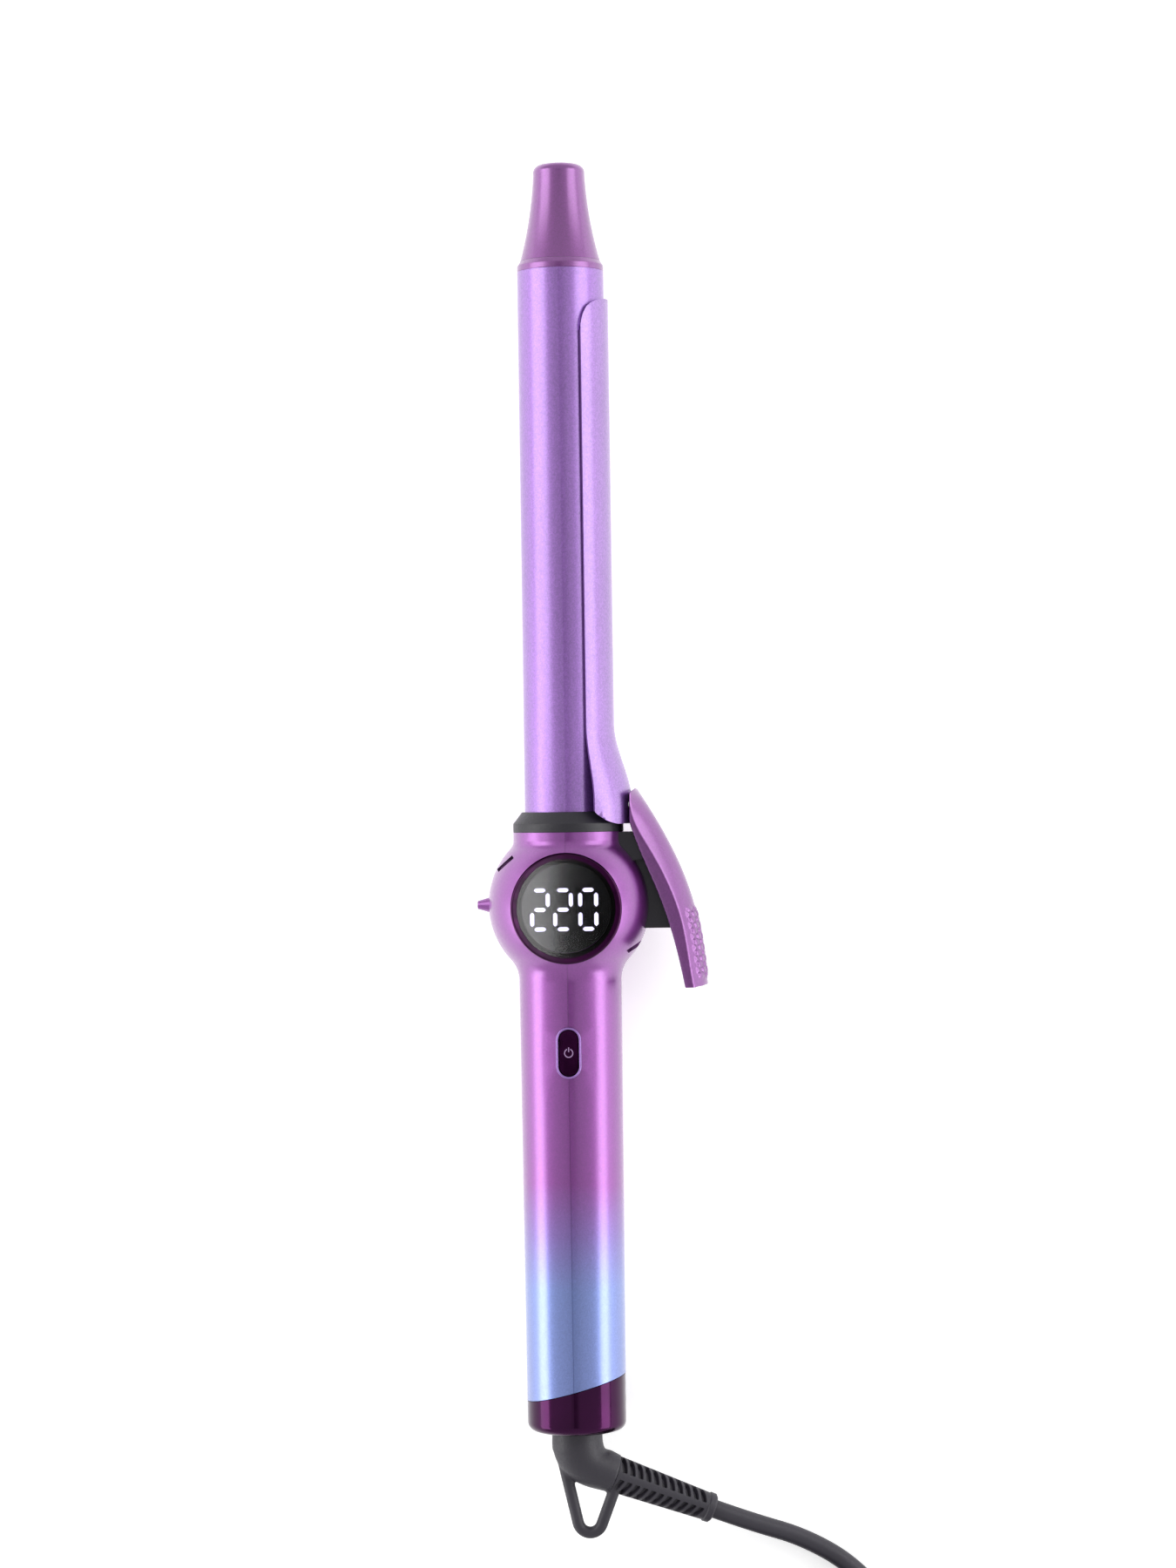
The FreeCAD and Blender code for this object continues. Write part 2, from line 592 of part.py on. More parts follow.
def hoop(x, y, h, turn, radius):
    """Closed round outline facing turn degrees below +X in plan, dipping as it turns."""
    a = math.radians(turn)
    dip = 0.18 * (90 - turn) / 68
    normal = V(math.cos(a), -math.sin(a), -dip).normalize()
    side = normal.cross(UP).normalize()
    top = side.cross(normal)
    points = []
    for i in range(12):
        t = 2 * math.pi * i / 12
        points.append(V(x, y, AXIS_Z + h) + side * (radius * math.cos(t)) + top * (radius * math.sin(t)))
    curve = Part.BSplineCurve()
    curve.interpolate(points, True)
    return Part.Wire(curve.toShape())


def make_swivel():
    """Elbow that turns in the end cap, its hang loop, its contacts and the cord's sleeve."""
    flange_y = CAP_END + 5.8
    neck = along(SWIVEL_R, -177.0, flange_y + 6.0)
    stations = (
        (0.0, -174.4, 0.0, 90.0, 8.3),
        (0.5, -177.4, -0.1, 83.0, 8.2),
        (2.0, -180.4, -0.3, 68.0, 7.9),
        (4.8, -182.6, -0.6, 48.0, 7.4),
        (8.2, -184.0, -1.0, 32.0, 6.8),
        (11.8, -185.4, -1.7, 22.0, 6.3),
    )
    elbow = neck.fuse(Part.makeLoft([hoop(*station) for station in stations], True, False))
    bottom = LOOP_BOW_R
    centre = V(3.8, -200.2, AXIS_Z)
    left_top = V(-5.2, -178.6, AXIS_Z)
    right_top = V(12.8, -187.6, AXIS_Z)

    def tangent(point, side):
        reach = point - centre
        reach.z = 0
        spread = math.acos(bottom / reach.Length)
        base = math.atan2(reach.y, reach.x)
        a = base + side * spread
        return centre + V(bottom * math.cos(a), bottom * math.sin(a), 0)

    left_touch = tangent(left_top, 1)
    right_touch = tangent(right_top, -1)
    for top, touch in ((left_top, left_touch), (right_top, right_touch)):
        run = touch - top
        elbow = elbow.fuse(Part.makeCylinder(LOOP_STRAND_R, run.Length, top, run))
        elbow = elbow.fuse(Part.makeSphere(LOOP_STRAND_R, touch))
    first = math.degrees(math.atan2(left_touch.y - centre.y, left_touch.x - centre.x))
    last = math.degrees(math.atan2(right_touch.y - centre.y, right_touch.x - centre.x))
    sweep = (last - first) % 360
    bow = Part.makeTorus(bottom, LOOP_STRAND_R, V(0, 0, 0), UP, 0, 360, sweep)
    bow.rotate(V(0, 0, 0), UP, first)
    bow.translate(centre)
    elbow = elbow.fuse(bow)
    save("swivel_elbow", elbow)
    clip = ring(11.0, SWIVEL_R + 0.02, flange_y + 0.3, flange_y + 2.0)
    save("swivel_retainer", clip)
    rings = [ring(9.4, SWIVEL_R + 0.02, y, y + 1.2) for y in (flange_y + 3.0, flange_y + 4.8)]
    save("slip_rings", Part.makeCompound(rings))
    brushes = [block(-1.5, 1.5, y, y + 1.0, 9.75, 12.5) for y in (flange_y + 3.1, flange_y + 4.9)]
    save("brush_contacts", Part.makeCompound(brushes))
    start = V(*SLEEVE_START)
    end = V(*SLEEVE_END)
    run = end - start
    save("strain_sleeve", Part.makeCone(SLEEVE_R0, SLEEVE_R1, run.Length, start, run))


def tube(name, points):
    """Round cord along straight runs joined by arcs as large as the runs allow."""
    edges = []
    radii = []
    here = points[0]
    for i in range(1, len(points) - 1):
        before = points[i] - points[i - 1]
        after = points[i + 1] - points[i]
        half = before.getAngle(after) / 2
        cut = 0.45 * min(before.Length, after.Length)
        radius = cut / math.tan(half)
        radii.append(round(radius, 1))
        a = points[i] - before.normalize() * cut
        b = points[i] + after.normalize() * cut
        out = ((a + b) * 0.5 - points[i]).normalize()
        mid = points[i] + out * (radius / math.cos(half) - radius)
        edges.append(Part.LineSegment(here, a).toShape())
        edges.append(Part.Arc(a, mid, b).toShape())
        here = b
    edges.append(Part.LineSegment(here, points[-1]).toShape())
    path = Part.Wire(edges)
    profile = Part.Wire(Part.Edge(Part.Circle(points[0], points[1] - points[0], CORD_R)))
    solid = path.makePipeShell([profile], True, False)
    expected = math.pi * CORD_R ** 2 * path.Length
    print(name, "radii", radii, "length", round(path.Length, 1), "volume ratio",
          round(solid.Volume / expected, 4))
    save(name, solid)


def make_cord():
    tube("power_cord", CORD_ROUTE)
    tube("cord_tail", TAIL_ROUTE)
    x, y = COIL_CENTRE
    outer = COIL_MID_R + COIL_PITCH + CORD_R
    inner = COIL_MID_R - COIL_PITCH - CORD_R
    height = 2 * COIL_PITCH + 2 * CORD_R
    coil = Part.makeCylinder(outer, height, V(x, y, COIL_FLOOR), UP)
    coil = coil.cut(Part.makeCylinder(inner, 50, V(x, y, -5), UP))
    save("cord_coil", coil)
    width = outer - inner
    wall = TIE_WALL
    corner = V(x + inner - wall, y - TIE_W / 2, COIL_FLOOR - wall)
    band = Part.makeBox(width + 2 * wall, TIE_W, height + 2 * wall, corner)
    hole = Part.makeBox(width + 0.1, 2 * TIE_W, height, V(x + inner - 0.05, y - TIE_W, COIL_FLOOR))
    tie = band.cut(hole)
    tie.rotate(V(x, y, 0), UP, TIE_TURN)
    save("cord_tie", tie)


def make_plug():
    """Flat two-pin plug lying on the table at the end of the cord's tail."""
    length = PLUG_LENGTH
    sections = (
        (0.0, 4.6, 4.6), (7.0, 5.6, 5.0), (15.0, 11.5, 6.2),
        (24.0, 17.0, 6.8), (length, 17.65, 6.8),
    )
    wires = []
    for along_plug, half_w, half_h in sections:
        r = min(half_w, half_h) * 0.72
        wires.append(rounded_section(along_plug, half_w, half_h, r))
    shape = Part.makeLoft(wires, True, False)
    pins = []
    for side in (-1, 1):
        root = V(length, side * PLUG_PIN_SPACING / 2, 0)
        pin = Part.makeCylinder(PLUG_PIN_R, PLUG_PIN_LENGTH, root, V(1, 0, 0))
        tip = [e for e in pin.Edges if abs(e.CenterOfMass.x - length - PLUG_PIN_LENGTH) < 0.01]
        pins.append(pin.makeFillet(1.2, tip))
    pins = Part.makeCompound(pins)
    turn = math.degrees(math.atan2(PLUG_DIRECTION.y, PLUG_DIRECTION.x))
    for piece in (shape, pins):
        piece.rotate(V(0, 0, 0), UP, turn)
        piece.translate(TAIL_ROUTE[-1])
    save("plug_body", shape)
    save("plug_pins", pins)


def rounded_section(x, half_w, half_h, r):
    """Rounded rectangle across the plug at distance x from its back."""
    c = r * (1 - math.sqrt(0.5))
    w, h = half_w, half_h

    def p(a, b):
        return V(x, a, b)

    edges = [
        Part.makeLine(p(-w + r, h), p(w - r, h)),
        Part.Arc(p(w - r, h), p(w - c, h - c), p(w, h - r)).toShape(),
        Part.makeLine(p(w, h - r), p(w, -h + r)),
        Part.Arc(p(w, -h + r), p(w - c, -h + c), p(w - r, -h)).toShape(),
        Part.makeLine(p(w - r, -h), p(-w + r, -h)),
        Part.Arc(p(-w + r, -h), p(-w + c, -h + c), p(-w, -h + r)).toShape(),
        Part.makeLine(p(-w, -h + r), p(-w, h - r)),
        Part.Arc(p(-w, h - r), p(-w + c, h - c), p(-w + r, h)).toShape(),
    ]
    return Part.Wire(edges)


make_shells(make_bracket())
make_barrel()
make_tip()
make_heater()
make_lever()
make_display()
make_button()
make_toggle()
make_electronics()
make_end_cap()
make_swivel()
make_cord()
make_plug()
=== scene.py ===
import json
import math

import bmesh
import bpy
from mathutils import Matrix, Vector


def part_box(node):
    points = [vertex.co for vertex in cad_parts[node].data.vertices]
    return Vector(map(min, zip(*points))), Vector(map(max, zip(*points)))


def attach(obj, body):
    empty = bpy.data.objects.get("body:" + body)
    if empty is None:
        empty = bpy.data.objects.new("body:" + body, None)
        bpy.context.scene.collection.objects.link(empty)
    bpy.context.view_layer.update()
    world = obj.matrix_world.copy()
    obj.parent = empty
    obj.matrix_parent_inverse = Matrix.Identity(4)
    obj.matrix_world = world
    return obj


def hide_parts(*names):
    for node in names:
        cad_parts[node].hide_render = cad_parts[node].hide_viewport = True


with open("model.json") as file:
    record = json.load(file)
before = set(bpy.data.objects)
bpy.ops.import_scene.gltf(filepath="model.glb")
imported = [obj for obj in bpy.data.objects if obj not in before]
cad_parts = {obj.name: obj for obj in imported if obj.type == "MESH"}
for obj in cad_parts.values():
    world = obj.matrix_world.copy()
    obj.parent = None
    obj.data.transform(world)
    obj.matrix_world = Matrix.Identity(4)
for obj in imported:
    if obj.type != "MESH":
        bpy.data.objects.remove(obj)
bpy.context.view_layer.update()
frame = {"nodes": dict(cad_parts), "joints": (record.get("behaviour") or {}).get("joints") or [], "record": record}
NODES = frame["nodes"]
MM = 0.001

# Places read from the frame
HINGE = Vector(next(j["pos_m"] for j in frame["joints"] if j["name"] == "clip_hinge"))
AXIS_Z = HINGE.z
RIM_LOW, RIM_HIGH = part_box("button_rim")
COIL_LOW, COIL_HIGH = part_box("cord_coil")

# Camera: distance, picture height, target and sensor size, with tilt and roll in degrees
CAMERA_DISTANCE = 1.2
CAMERA_VIEW_HEIGHT = 0.509
CAMERA_TARGET = (0.0066, 0.0388)
CAMERA_SENSOR = 36
CAMERA_TILT = 3.0
CAMERA_ROLL = 0.85

# The cord: its size and the points of its route, as the CAD solids have them
CORD_D = 0.0061
CORD_OUT = [
    (0.0435, -0.1981, 0.0102),
    (0.0563, -0.2032, 0.0076),
    (0.0725, -0.2086, 0.0039),
    (0.0885, -0.2178, 0.00305),
    (0.1010, -0.2325, 0.0031),
]
CORD_TAIL = [
    (0.0240, -0.2902, 0.0115),
    (0.0040, -0.2840, 0.00685),
]
COIL_STEPS = 14            # route points in one turn
COIL_TURNS = 7.325
COIL_WAVE = 5.6            # turns from the outside to the inside and back
COIL_PITCH = 0.0062
COIL_START = math.radians(-3)
COIL_LIFTS = (2.4, 5.2)    # turns after which the cord climbs one layer
COIL_CLIMB = 0.8           # turns that one climb takes

# Strain boot, in mm and degrees: ends, radii, slots and the spines between their rows
BOOT_START = (11.8, -185.4, 16.5)
BOOT_END = (43.5, -198.1, 10.2)
BOOT_R = (5.95, 4.45)
BOOT_FACE = (0.03, 0.19, 0.98)      # the way its upper spine faces
BOOT_COLLAR = 2.6
BOOT_COLLAR_RISE = 0.35
BOOT_COLLAR_EDGE = 0.4
BOOT_END_ROUND = 0.6
BOOT_FIRST = 2.4
BOOT_PITCH = 2.82
BOOT_SLOTS = 11
BOOT_SLOT_W = 1.5
BOOT_SLOT_EDGE = 0.3
BOOT_CUT = 1.5
BOOT_SPINE = 12
BOOT_FLANK = 82
BOOT_SPINE_EDGE = 4
BOOT_LEAN = 0.3
BOOT_ARC = 0.09
BOOT_ROWS = 230
BOOT_SIDES = 120

# Even copies of CAD parts: voxel in m, and rounds of smoothing
VOXEL = 0.0004
ELBOW_ROUNDS = 8
LEVER_ROUNDS = 3

# Round of the clip's tip corner, in mm: the x where it starts and ends, and its length
CORNER_X = (7.0, 14.2)
CORNER_DROP = 11.0
CORNER_STEPS = 16
CUTTER_MARGIN = (6, 3)     # how far the cutter reaches past the plate, in x and y
CUTTER_HEIGHT = 0.03       # in m, up from the axis

# Raised pattern on the lever, in mm
RELIEF_Y = (-25.0, -0.5)
RELIEF_PITCH = 3.6
RELIEF_HEIGHT = 0.5
RELIEF_EDGE = 2            # length over which it fades out at both ends
RELIEF_HALF_W = 7.4
RELIEF_SIDE_EDGE = 1.2
RELIEF_GAIN = 1.7
RELIEF_FACING = 0.35       # smallest x of a normal on the outer face
LEVER_CREST = (41.6, -5)   # a point of the outer face, as x and y
LEVER_LEAN = 0.165
LEVER_DEPTH = 6.5

# Polished bead on the power button's rim, in m
BEAD_R = 0.00038
BEAD_SINK = 0.3            # part of its radius that it sits below the rim's top
BEAD_SIDES = 12
BEAD_STEPS = 24            # steps round each end

# Display digits, in mm
DIGIT_X = (-8.5, -1.1, 7.0)
DIGIT_MID_Y = -1.3
DIGIT_W = 5.1
DIGIT_H = 12.5
DIGIT_STROKE = 1.3
DIGIT_GAP_UP = 1.7
DIGIT_GAP_ACROSS = 1.3
DIGITS_LIT = ("abged", "abged", "abcdef")

# Turned pieces: corners as (radius, y, fillet), in mm
LATHE_SEGMENTS = 192
COLLAR_CORNERS = [
    (14.05, 23.4, 0), (17.9, 23.4, 0.3), (17.9, 26.2, 0.5),
    (16.9, 27.4, 0.5), (15.0, 29.9, 0.4), (14.05, 29.9, 0),
]
RING_CORNERS = [
    (9.0, 196.0, 0), (12.88, 196.0, 0.2), (12.88, 205.0, 0), (14.0, 205.0, 0.3),
    (14.0, 206.9, 0.7), (13.0, 208.4, 0.3), (9.0, 208.4, 0),
]

# Materials: noise values at which a tone starts and ends, and the paints' grain sizes
NOISE_LOW, NOISE_HIGH = 0.3, 0.7
FLAKE_SCALE = 2600
CLOUD_SCALE = 900
PEEL_SCALE = 1800
BLEND_WOBBLE = 0.004       # how far the blend between two paints wanders, in m
PAINT_COAT_ROUGHNESS = 0.26
PAINT_COAT_IOR = 1.85
PLASTIC_COAT_ROUGHNESS = 0.06
SMOOTH_ANGLE = 35

# Lights: name, place, aim, size in m and power in W
LIGHTS = [
    ("left_box", (-0.70, 0.32, 0.42), (0, 0.32, 0.02), (0.6, 0.64), 2.7),
    ("right_box", (0.71, 0.32, 0.40), (0, 0.32, 0.02), (0.6, 0.56), 2.2),
    ("left_strip", (-0.78, -0.29, 0.20), (0, -0.29, 0.02), (0.6, 0.36), 2.2),
    ("right_strip", (0.77, -0.29, 0.24), (0, -0.29, 0.02), (0.6, 0.34), 2.0),
    ("lens_card", (-0.108, -0.042, 1.3), (-0.108, -0.03, 0), (0.05, 0.14), 0.09),
]

# Brightness of the surround, from the horizon (0) to straight above (1)
SURROUND = ((0.0, 0.85), (0.45, 0.78), (0.8, 0.72), (0.975, 0.66), (0.99, 0.03))
FLOOR_HALF = 4
FLOOR_GLOW = 0.45


def make_camera():
    """Camera looking down on the iron, a little from the lever's side and slightly rolled."""
    tilt, roll = math.radians(CAMERA_TILT), math.radians(CAMERA_ROLL)
    target = Vector((*CAMERA_TARGET, AXIS_Z))
    back = Vector((math.sin(tilt), 0, math.cos(tilt)))
    up = Vector((math.sin(roll), math.cos(roll), 0))
    right = up.cross(back).normalized()
    up = back.cross(right)
    data = bpy.data.cameras.new("camera")
    data.sensor_fit = "VERTICAL"
    data.sensor_height = CAMERA_SENSOR
    data.lens = CAMERA_SENSOR * CAMERA_DISTANCE / CAMERA_VIEW_HEIGHT
    data.clip_start = 0.05
    camera = bpy.data.objects.new("camera", data)
    bpy.context.scene.collection.objects.link(camera)
    turn = Matrix((right, up, back)).transposed().to_4x4()
    camera.matrix_world = Matrix.Translation(target + back * CAMERA_DISTANCE) @ turn
    bpy.context.scene.camera = camera


def coil_points():
    """Turns of the put-away cord: wound inwards, then outwards and upwards in layers."""
    centre = (COIL_LOW + COIL_HIGH) / 2
    outer = (COIL_HIGH.x - COIL_LOW.x) / 2 - CORD_D / 2
    floor = COIL_LOW.z + CORD_D / 2
    points = []
    for i in range(round(COIL_TURNS * COIL_STEPS) + 1):
        t = i / COIL_STEPS
        reach = outer - COIL_PITCH * (1 - math.cos(2 * math.pi * t / COIL_WAVE))
        lift = COIL_PITCH * sum(smooth_step((t - start) / COIL_CLIMB) for start in COIL_LIFTS)
        angle = COIL_START - 2 * math.pi * t
        points.append((
            centre.x + reach * math.cos(angle),
            centre.y + reach * math.sin(angle),
            floor + lift,
        ))
    return points


def smooth_step(t):
    t = min(1.0, max(0.0, t))
    return t * t * (3 - 2 * t)


def nurbs(name, points, radius):
    """Round flexible cord along one smooth open spline."""
    curve = bpy.data.curves.new(name, "CURVE")
    curve.dimensions = "3D"
    spline = curve.splines.new("NURBS")
    spline.points.add(len(points) - 1)
    for place, point in zip(spline.points, points):
        place.co = (*point, 1.0)
    spline.order_u = 3
    spline.use_endpoint_u = True
    spline.resolution_u = 8
    curve.bevel_depth = radius
    curve.bevel_resolution = 6
    curve.use_fill_caps = True
    piece = bpy.data.objects.new(name, curve)
    bpy.context.scene.collection.objects.link(piece)
    return piece


def shader(name):
    """New material: its node tree, its Principled shader and its frame coordinates."""
    material = bpy.data.materials.new(name)
    material.use_nodes = True
    tree = material.node_tree
    principled = tree.nodes["Principled BSDF"]
    place = tree.nodes.new("ShaderNodeTexCoord").outputs["Object"]
    return material, tree, principled, place


def noise(tree, place, scale, detail):
    node = tree.nodes.new("ShaderNodeTexNoise")
    node.inputs["Scale"].default_value = scale
    node.inputs["Detail"].default_value = detail
    tree.links.new(place, node.inputs["Vector"])
    return node.outputs["Fac"]


def ramp(tree, fac, stops):
    node = tree.nodes.new("ShaderNodeValToRGB")
    elements = node.color_ramp.elements
    while len(elements) < len(stops):
        elements.new(0.5)
    for element, (position, colour) in zip(elements, stops):
        element.position = position
        element.color = (*colour, 1)
    tree.links.new(fac, node.inputs["Fac"])
    return node.outputs["Color"]


def tones(dark, light):
    """Ramp stops between two colours over the noise's usual values."""
    return [(NOISE_LOW, dark), (NOISE_HIGH, light)]


def spread(tree, value, low, high, to_low, to_high):
    """Map a value from one range to another."""
    node = tree.nodes.new("ShaderNodeMapRange")
    keys = ("From Min", "From Max", "To Min", "To Max")
    for key, number in zip(keys, (low, high, to_low, to_high)):
        node.inputs[key].default_value = number
    tree.links.new(value, node.inputs["Value"])
    return node.outputs["Result"]


def multiply(tree, colour, factor_colour):
    node = tree.nodes.new("ShaderNodeMix")
    node.data_type = "RGBA"
    node.blend_type = "MULTIPLY"
    node.inputs["Factor"].default_value = 1.0
    tree.links.new(colour, node.inputs["A"])
    tree.links.new(factor_colour, node.inputs["B"])
    return node.outputs["Result"]


def bump(tree, principled, height, strength, distance):
    node = tree.nodes.new("ShaderNodeBump")
    node.inputs["Strength"].default_value = strength
    node.inputs["Distance"].default_value = distance
    tree.links.new(height, node.inputs["Height"])
    tree.links.new(node.outputs["Normal"], principled.inputs["Normal"])


def srgb(r, g, b):
    """Linear colour from 0 to 255 display values."""
    def linear(c):
        c /= 255
        return c / 12.92 if c <= 0.04045 else ((c + 0.055) / 1.055) ** 2.4
    return linear(r), linear(g), linear(b)


def pearl_paint(name, bands, metallic, roughness, coat, sparkle=0.16):
    """Metallic paint: bands are (y in mm, colour) along the iron, over a fine flake sparkle."""
    material, tree, principled, place = shader(name)
    if len(bands) > 1:
        split = tree.nodes.new("ShaderNodeSeparateXYZ")
        tree.links.new(place, split.inputs["Vector"])
        low, high = bands[0][0] * MM, bands[-1][0] * MM
        wobble = noise(tree, place, 60, 2)
        shift = tree.nodes.new("ShaderNodeMath")
        shift.operation = "MULTIPLY_ADD"
        tree.links.new(wobble, shift.inputs[0])
        shift.inputs[1].default_value = BLEND_WOBBLE
        tree.links.new(split.outputs["Y"], shift.inputs[2])
        along = spread(tree, shift.outputs["Value"], low, high, 0.0, 1.0)
        stops = [((y * MM - low) / (high - low), colour) for y, colour in bands]
    else:
        along = noise(tree, place, 25, 2)
        colour = bands[0][1]
        stops = tones([c * 0.95 for c in colour], [min(1, c * 1.04) for c in colour])
    base = ramp(tree, along, stops)
    flake = tree.nodes.new("ShaderNodeTexVoronoi")
    flake.inputs["Scale"].default_value = FLAKE_SCALE
    tree.links.new(place, flake.inputs["Vector"])
    tint = ramp(tree, flake.outputs["Color"], [
        (0.1, (1 - sparkle,) * 3), (0.55, (1.0, 1.0, 1.0)), (0.95, (1 + sparkle,) * 3),
    ])
    tree.links.new(multiply(tree, base, tint), principled.inputs["Base Color"])
    principled.inputs["Metallic"].default_value = metallic
    cloud = noise(tree, place, CLOUD_SCALE, 3)
    rough = spread(tree, cloud, NOISE_LOW, NOISE_HIGH, roughness - 0.05, roughness + 0.06)
    tree.links.new(rough, principled.inputs["Roughness"])
    principled.inputs["Coat Weight"].default_value = coat
    principled.inputs["Coat Roughness"].default_value = PAINT_COAT_ROUGHNESS
    principled.inputs["Coat IOR"].default_value = PAINT_COAT_IOR
    bump(tree, principled, noise(tree, place, PEEL_SCALE, 2), 0.08, 0.0001)
    return material


def plastic(name, colour, roughness, grain, depth, variation=0.12, coat=0.0, metallic=0.0,
            specular=0.5):
    """Moulded plastic or rubber with a fine grain and a slightly uneven colour."""
    material, tree, principled, place = shader(name)
    tone = noise(tree, place, 70, 3)
    stops = tones([c * (1 - variation) for c in colour],
                  [min(1, c * (1 + variation)) for c in colour])
    tree.links.new(ramp(tree, tone, stops), principled.inputs["Base Color"])
    fine = noise(tree, place, grain, 3)
    rough = spread(tree, fine, NOISE_LOW, NOISE_HIGH, roughness - 0.06, roughness + 0.06)
    tree.links.new(rough, principled.inputs["Roughness"])
    principled.inputs["Metallic"].default_value = metallic
    principled.inputs["Specular IOR Level"].default_value = specular
    principled.inputs["Coat Weight"].default_value = coat
    principled.inputs["Coat Roughness"].default_value = PLASTIC_COAT_ROUGHNESS
    bump(tree, principled, fine, depth, 0.0002)
    return material


def metal(name, colour, roughness=0.28):
    """Turned or drawn bare metal with faint tool lines."""
    material, tree, principled, place = shader(name)
    scale = tree.nodes.new("ShaderNodeMapping")
    scale.inputs["Scale"].default_value = (1, 30, 1)
    tree.links.new(place, scale.inputs["Vector"])
    lines = noise(tree, scale.outputs["Vector"], 300, 3)
    stops = tones([c * 0.85 for c in colour], colour)
    tree.links.new(ramp(tree, lines, stops), principled.inputs["Base Color"])
    principled.inputs["Metallic"].default_value = 1.0
    rough = spread(tree, lines, NOISE_LOW, NOISE_HIGH, roughness - 0.06, roughness + 0.1)
    tree.links.new(rough, principled.inputs["Roughness"])
    bump(tree, principled, lines, 0.05, 0.0001)
    return material


def smoked_glass(name):
    """Clear dark lens over the display."""
    material, tree, principled, place = shader(name)
    stops = tones((0.70, 0.69, 0.73), (0.76, 0.75, 0.79))
    tree.links.new(ramp(tree, noise(tree, place, 40, 2), stops), principled.inputs["Base Color"])
    principled.inputs["Transmission Weight"].default_value = 1.0
    principled.inputs["IOR"].default_value = 1.49
    smear = noise(tree, place, 120, 3)
    rough = spread(tree, smear, NOISE_LOW, NOISE_HIGH, 0.055, 0.065)
    tree.links.new(rough, principled.inputs["Roughness"])
    return material


def lit_digits(name):
    """Glowing white of the display."""
    material, tree, principled, place = shader(name)
    stops = tones(srgb(226, 222, 255), srgb(246, 244, 255))
    glow = ramp(tree, noise(tree, place, 500, 2), stops)
    tree.links.new(glow, principled.inputs["Base Color"])
    tree.links.new(glow, principled.inputs["Emission Color"])
    principled.inputs["Emission Strength"].default_value = 1.6
    principled.inputs["Roughness"].default_value = 0.6
    return material


PURPLE = srgb(134, 44, 148)
BLUE = srgb(112, 132, 200)
MATERIALS = {
    "barrel_lilac": pearl_paint("barrel_pearl", [(0, srgb(146, 96, 184))], 0.85, 0.4, 1.0),
    "clip_lilac": pearl_paint("clip_pearl", [(0, srgb(150, 106, 184))], 0.85, 0.4, 1.0),
    "tip_purple": pearl_paint("tip_paint", [(0, srgb(126, 50, 138))], 0.85, 0.33, 1.0, 0.1),
    "shell_purple": pearl_paint("shell_paint", [
        (-200, BLUE), (-122, BLUE), (-104, srgb(124, 92, 176)), (-88, PURPLE), (30, PURPLE),
    ], 0.85, 0.33, 1.0, 0.08),
    "black_plastic": plastic("black_plastic", srgb(30, 28, 36), 0.42, 1200, 0.2),
    "gloss_plum": plastic("plum_gloss", srgb(58, 14, 57), 0.16, 300, 0.02, 0.15, 0.2, 1.0),
    "black_gloss": plastic("display_black", srgb(6, 6, 8), 0.4, 500, 0.05, specular=0.05),
    "lens_glass": smoked_glass("lens_glass"),
    "digit_white": lit_digits("digit_light"),
    "steel": metal("steel", (0.56, 0.56, 0.58)),
    "aluminium": metal("aluminium", (0.8, 0.8, 0.82), 0.32),
    "ceramic": plastic("ceramic", srgb(222, 218, 208), 0.6, 600, 0.2, 0.05),
    "brass": metal("brass", srgb(206, 170, 96), 0.25),
    "board_green": plastic("board_green", srgb(22, 92, 52), 0.35, 500, 0.08, 0.2),
    "black_rubber": plastic("black_rubber", srgb(45, 42, 51), 0.5, 1400, 0.25),
    "mark_grey": plastic("mark_grey", srgb(150, 120, 160), 0.5, 800, 0.05),
}
SLOT_OF = {row["node"]: row["material_slot"] for row in frame["record"]["subparts"]}


def dress(piece, slot):
    """Give a piece its slot's material and smooth its gentle edges."""
    piece.data.materials.clear()
    piece.data.materials.append(MATERIALS[slot])
    if piece.type == "MESH":
        for polygon in piece.data.polygons:
            polygon.use_smooth = True
        piece.data.set_sharp_from_angle(angle=math.radians(SMOOTH_ANGLE))


def own(piece, body, slot, *replaced):
    """Put a new piece on its body, in its slot, in place of the CAD nodes it stands for."""
    dress(piece, slot)
    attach(piece, body)
    if replaced:
        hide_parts(*replaced)
    return piece


def mesh_piece(name, verts, faces):
    data = bpy.data.meshes.new(name)
    data.from_pydata([tuple(v) for v in verts], [], faces)
    data.validate()
    piece = bpy.data.objects.new(name, data)
    bpy.context.scene.collection.objects.link(piece)
    return piece


def fillet_outline(corners, steps=6):
    """Closed outline from (r, y, fillet radius) corners, each corner rounded by its radius."""
    outline = []
    count = len(corners)
    for i, (r, y, radius) in enumerate(corners):
        here = Vector((r, y))
        before = Vector(corners[i - 1][:2]) - here
        after = Vector(corners[(i + 1) % count][:2]) - here
        if radius <= 0:
            outline.append(here)
            continue
        half = before.angle(after) / 2
        cut = min(radius / math.tan(half), 0.45 * before.length, 0.45 * after.length)
        a = here + before.normalized() * cut
        b = here + after.normalized() * cut
        for k in range(steps + 1):
            t = k / steps
            outline.append(a.lerp(here, t).lerp(here.lerp(b, t), t))
    return outline


